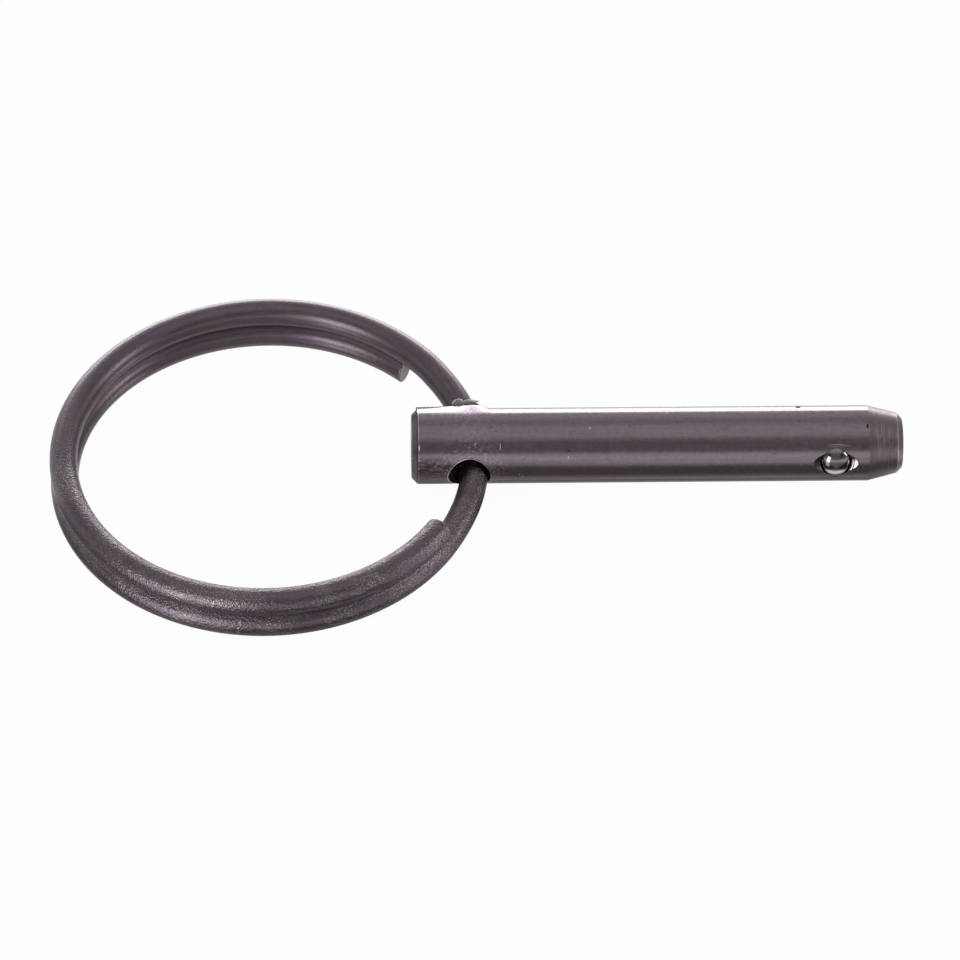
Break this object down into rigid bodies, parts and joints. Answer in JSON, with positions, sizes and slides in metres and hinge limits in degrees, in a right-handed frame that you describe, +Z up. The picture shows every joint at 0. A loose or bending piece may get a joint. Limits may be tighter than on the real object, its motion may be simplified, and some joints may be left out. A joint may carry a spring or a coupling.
{
  "type": "detent pin",
  "caption": "Quick-release steel pin with a spring-loaded ball near its tapered tip and a two-layer split ring through its other end.",
  "frame": {"origin": "centre of the head's flat face, on the pin's axis", "axes": "+X along the pin's axis towards its tapered tip, +Z up with the pin and its ring lying on a flat surface, which is half a pin diameter below the origin"},
  "size_m": [0.0717, 0.0364, 0.0064],
  "materials": {
    "pin_steel": "dark oiled black-oxide steel, turned, half gloss",
    "ball_steel": "polished hardened steel",
    "spring_steel": "bare spring wire",
    "ring_steel": "dark oiled black-oxide wire, worn to bare metal in fine specks"
  },
  "bodies": {
    "pin": {"pin_body": "pin_steel", "detent_spring": "spring_steel"},
    "ball": {"detent_ball": "ball_steel"},
    "ring": {"split_ring": "ring_steel"}
  },
  "joints": [
    {"name": "ball_press", "type": "slide", "parent": "pin", "child": "ball", "axis": [0, 0.9758, -0.2189], "range_m": [0, 0.0005], "stiffness_N_per_m": 1100, "springref_m": -0.0018, "deforming": ["detent_spring"]},
    {"name": "ring_swing", "type": "hinge", "parent": "pin", "child": "ring", "pos_m": [0.0048, 0, 0], "axis": [0, 0.9861, 0.166], "range_deg": [-167, 170]}
  ]
}
